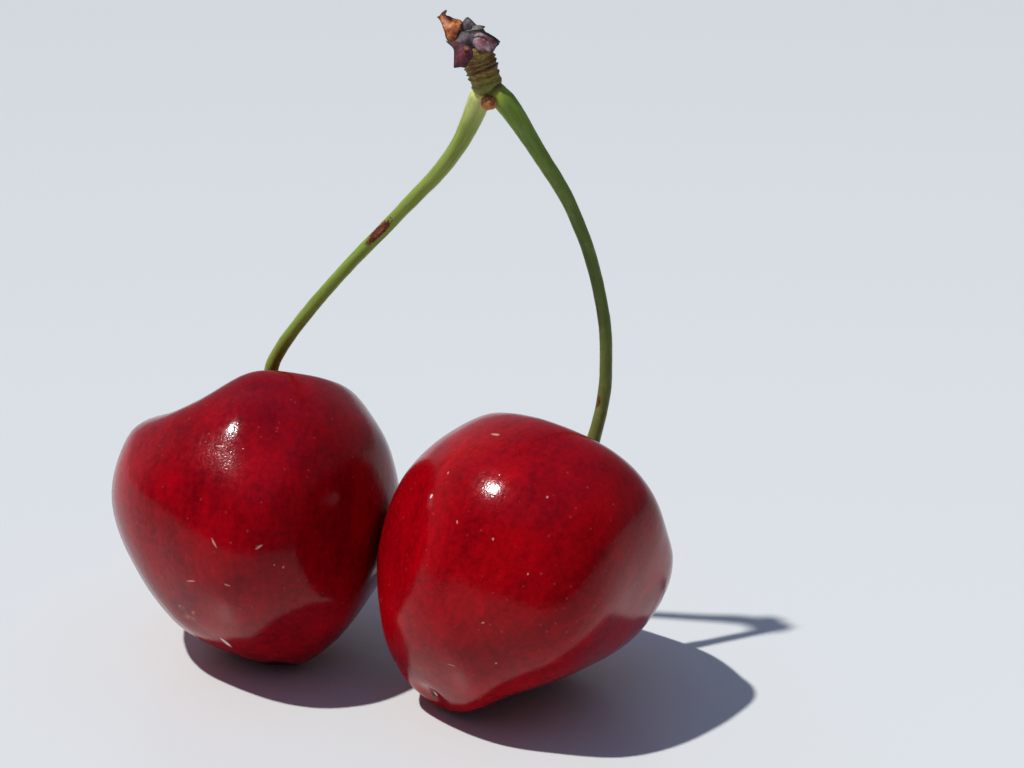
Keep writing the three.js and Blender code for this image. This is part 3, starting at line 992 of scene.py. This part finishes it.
# The front scales are cut as seen square on from the front and a little above
SQUARE_ON = math.radians(-20.7)
AMBER_OUTLINE = [
    (-1.65, -0.1),
    (-2.05, 0.05),
    (-2.3, 0.45),
    (-2.35, 0.85),
    (-2.5, 1.25),
    (-2.65, 1.7),
    (-2.9, 2.1),
    (-3.15, 2.3),
    (-2.8, 2.4),
    (-2.65, 2.65),
    (-2.2, 2.8),
    (-2.1, 2.65),
    (-2.35, 2.4),
    (-1.9, 2.3),
    (-1.5, 2.1),
    (-1.0, 2.05),
    (-0.8, 1.8),
    (-0.95, 1.45),
    (-1.1, 0.9),
    (-1.25, 0.4),
    (-1.35, -0.05),
]
PEAK_OUTLINE = [
    (-1.0, 0.65),
    (-1.05, 1.4),
    (-0.85, 1.9),
    (-0.6, 2.25),
    (-0.4, 2.35),
    (-0.1, 2.1),
    (0.2, 1.8),
    (0.45, 1.55),
    (0.6, 0.95),
    (0.4, 0.0),
    (-0.65, 0.0),
]
PALE_OUTLINE = [
    (-0.65, 0.9),
    (-0.55, 1.2),
    (-0.25, 1.45),
    (0.3, 1.58),
    (0.7, 1.55),
    (1.15, 1.5),
    (0.9, 1.2),
    (0.5, 0.95),
    (0.1, 0.85),
]
LIP_OUTLINE = [
    (-0.35, 0.9),
    (0.15, 0.98),
    (0.55, 1.02),
    (1.3, 0.74),
    (1.95, 0.42),
    (2.45, 0.05),
    (2.3, -0.05),
    (1.9, 0.25),
    (1.2, 0.57),
    (0.5, 0.85),
    (0.1, 0.83),
]
RIGHT_OUTLINE = [
    (0.0, 0.55),
    (0.15, 0.85),
    (0.5, 0.95),
    (1.25, 0.65),
    (1.9, 0.35),
    (2.35, 0.0),
    (2.2, -0.2),
    (2.0, -0.35),
    (1.85, -0.75),
    (1.6, -0.9),
    (1.05, -0.85),
    (0.5, -0.8),
    (0.15, -0.55),
    (-0.05, 0.0),
]
CENTRE_OUTLINE = [
    (-1.6, 0.1),
    (-1.4, 0.55),
    (-0.95, 0.95),
    (-0.45, 0.95),
    (0.2, 0.85),
    (0.5, 0.75),
    (0.4, 0.3),
    (0.35, -0.3),
    (-0.1, -0.75),
    (-0.75, -0.85),
    (-1.4, -0.55),
]
PLUM_OUTLINE = [
    (-2.35, 0.25),
    (-1.85, 0.0),
    (-1.4, 0.05),
    (-0.75, -0.1),
    (-0.1, -0.5),
    (0.1, -0.95),
    (0.0, -1.4),
    (-0.35, -1.85),
    (-0.6, -2.25),
    (-0.95, -2.15),
    (-1.6, -2.25),
    (-1.55, -1.4),
    (-1.55, -0.65),
    (-1.85, -0.3),
    (-2.15, -0.05),
]
FLAKE_OUTLINE = [
    (-0.8, -0.65),
    (-0.65, -0.42),
    (-0.35, -0.45),
    (-0.1, -0.7),
    (-0.35, -0.88),
    (-0.75, -0.85),
]
SIDE_OUTLINE = [
    (-0.7, -1.0),
    (-0.8, -0.1),
    (-0.45, 0.5),
    (0.1, 0.75),
    (0.6, 0.4),
    (0.85, -0.3),
    (0.5, -1.0),
]
BACK_OUTLINE = [
    (-0.7, -1.1),
    (-1.0, 0.2),
    (-0.65, 0.9),
    (-0.15, 1.35),
    (0.35, 1.2),
    (0.85, 0.8),
    (1.15, 0.2),
    (0.95, -0.7),
    (0.5, -1.2),
]
square_on = Matrix.Translation(BUD_MIDDLE) @ Matrix.Rotation(SQUARE_ON, 4, "X")


def round_the_bud(turn, lean):
    return (
        bud_place
        @ Matrix.Rotation(math.radians(turn), 4, "Z")
        @ Matrix.Rotation(math.radians(lean), 4, "X")
    )


SCALES = [
    (
        "amber_scale",
        AMBER_OUTLINE,
        -0.45,
        [
            ((-1.6, 0.9), (0, -0.5, 0), 1.5),
            ((-3.15, 2.3), (0.05, 0.5, 0), 1.2),
            ((-2.2, 2.8), (0, -0.5, 0.0), 0.7),
            ((-1.0, 2.05), (0, 0.45, 0), 1.2),
        ],
        square_on,
        amber_paper,
    ),
    (
        "peaked_scale",
        PEAK_OUTLINE,
        0.15,
        [((-0.5, 1.2), (0, -0.4, 0), 1.2)],
        square_on,
        grey_paper,
    ),
    (
        "pale_scale",
        PALE_OUTLINE,
        -0.35,
        [((1.15, 1.5), (0, 0.3, 0), 0.8), ((-0.25, 1.45), (0, 0.3, 0), 0.7)],
        square_on,
        pale_paper,
    ),
    (
        "centre_scale",
        CENTRE_OUTLINE,
        -0.95,
        [((-0.4, 0.1), (0, -0.4, 0), 1.2), ((-1.4, 0.55), (0, 0.4, 0), 0.8)],
        square_on,
        grey_paper,
    ),
    (
        "right_scale",
        RIGHT_OUTLINE,
        -1.15,
        [((1.0, -0.1), (0, -0.35, 0), 1.3), ((2.35, 0.0), (0, 0.8, 0), 1.4)],
        square_on,
        pink_paper,
    ),
    # A near-black strip along the right scale's top edge: partly a dark dry lip, partly painted shadow
    (
        "right_lip",
        LIP_OUTLINE,
        -1.5,
        [((1.0, 0.8), (0, -0.2, 0), 0.8), ((2.45, 0.1), (0, 0.75, 0), 1.3)],
        square_on,
        black_edge_and_shadow_paper,
    ),
    (
        "plum_scale",
        PLUM_OUTLINE,
        -1.35,
        [((-0.6, -0.9), (0, -0.4, 0), 1.2), ((-2.35, 0.25), (0, 0.5, 0), 1.0)],
        square_on,
        plum_paper,
    ),
    (
        "amber_flake",
        FLAKE_OUTLINE,
        -1.95,
        [((-0.35, -0.88), (0, -0.15, 0), 0.3)],
        square_on,
        amber_paper,
    ),
    (
        "back_scale",
        BACK_OUTLINE,
        -0.95,
        [((0, 0.2), (0, -0.5, 0), 1.5)],
        round_the_bud(150, -6),
        grey_paper,
    ),
    (
        "side_scale",
        SIDE_OUTLINE,
        -0.95,
        [((0, 0.0), (0, -0.4, 0), 1.2)],
        round_the_bud(95, -10),
        pink_paper,
    ),
    (
        "far_scale",
        BACK_OUTLINE,
        -0.9,
        [((0, 0.2), (0, -0.5, 0), 1.5)],
        round_the_bud(215, -12),
        plum_paper,
    ),
]
for name, outline, depth, pushes, place, paper in SCALES:
    scale = grow_scale(name, outline, depth, pushes)
    set_down(scale, place)
    scale.data.materials.append(paper)
    amber = name == "amber_scale"
    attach(scale, "root")
    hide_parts("bud_scale_amber" if amber else "bud_scales_dark")

# Bud core
# The closed heart of the bud, which the scales are wrapped round.

CORE_OUTLINE = [(0, -0.8), (0.95, -0.7), (0.9, 0.0), (0.6, 0.4), (0, 0.6)]
CORE_STEPS = 40
CORE_GRAIN = 0.4 * MM
CORE_UNEVENNESS = 0.25 * MM

core_profile = [Vector((radius * MM, 0, height * MM)) for radius, height in CORE_OUTLINE]
core = spin_profile("bud_core", core_profile, CORE_STEPS)
set_down(core, bud_place)
roughen(core, CORE_GRAIN, CORE_UNEVENNESS)
core.data.attributes.new("rim", "FLOAT", "POINT").data.foreach_set(
    "value", [1.0] * len(core.data.vertices)
)
bpy.ops.object.shade_smooth()
core.data.materials.append(grey_paper)
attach(core, "root")
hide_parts("bud_scales_dark")

# Floor
# A plain pale table top with a little gloss, wide enough to fill the skin's reflections.

FLOOR_SIZE = 6.0
bpy.ops.object.select_all(action="DESELECT")
bpy.ops.mesh.primitive_plane_add(size=FLOOR_SIZE)
floor = bpy.context.object
floor.name = "floor"
table_top = Finish("pale_table_top", roughness=0.3)
table_top.shader.inputs["Base Color"].default_value = shade(0.79, 0.8, 0.775)
floor.data.materials.append(table_top.material)

# Light
# A soft high key from the left, and a dim bluish room that is brighter overhead.

KEY_TRAVEL = Vector((0.49, 0.041, -1))
KEY_STRENGTH = 3.0
KEY_ANGLE = math.radians(1.6)
bpy.ops.object.light_add(type="SUN")
key = bpy.context.object
key.name = "key_light"
key.rotation_euler = KEY_TRAVEL.to_track_quat("-Z", "Y").to_euler()
key.data.energy = KEY_STRENGTH
key.data.angle = KEY_ANGLE

room = bpy.data.worlds.new("room")
room.use_nodes = True
bpy.context.scene.world = room
room_nodes = room.node_tree


def room_ramp(source, low, high, dark, bright):
    """A colour that goes from dark to bright as one part of the direction goes from low to high."""
    ramp = room_nodes.nodes.new("ShaderNodeValToRGB")
    spread = room_nodes.nodes.new("ShaderNodeMapRange")
    spread.inputs["From Min"].default_value = low
    spread.inputs["From Max"].default_value = high
    ramp.color_ramp.interpolation = "EASE"
    ramp.color_ramp.elements[0].color = dark
    ramp.color_ramp.elements[1].color = bright
    room_nodes.links.new(source, spread.inputs["Value"])
    room_nodes.links.new(spread.outputs["Result"], ramp.inputs[0])
    return ramp.outputs["Color"]


direction = room_nodes.nodes.new("ShaderNodeTexCoord")
split = room_nodes.nodes.new("ShaderNodeSeparateXYZ")
room_nodes.links.new(direction.outputs["Generated"], split.inputs[0])
walls = room_ramp(split.outputs["Y"], -0.4, 0.8, shade(0.05, 0.055, 0.07), shade(0.25, 0.28, 0.34))
overhead = room_ramp(split.outputs["Z"], 0.6, 0.85, shade(0, 0, 0), shade(1, 1, 1))
ceiling = room_nodes.nodes.new("ShaderNodeMix")
ceiling.data_type = "RGBA"
room_nodes.links.new(overhead, ceiling.inputs[0])
room_nodes.links.new(walls, ceiling.inputs[6])
ceiling.inputs[7].default_value = shade(0.12, 0.18, 0.33)
room_nodes.links.new(ceiling.outputs[2], room_nodes.nodes["Background"].inputs["Color"])
bpy.context.scene.view_settings.view_transform = "Standard"

# Camera
# Close and a little above the fruits, looking down on them.

CAMERA_PLACE = Vector((10.95, -211.24, 106.66)) * MM
CAMERA_PITCH = math.radians(20.7)
CAMERA_LENS = 91.406
CAMERA_SENSOR = 36
CAMERA_CLIP = 10 * MM
bpy.ops.object.camera_add(location=CAMERA_PLACE, rotation=(math.radians(90) - CAMERA_PITCH, 0, 0))
camera = bpy.context.object
camera.data.sensor_width = CAMERA_SENSOR
camera.data.lens = CAMERA_LENS
camera.data.clip_start = CAMERA_CLIP
bpy.context.scene.camera = camera
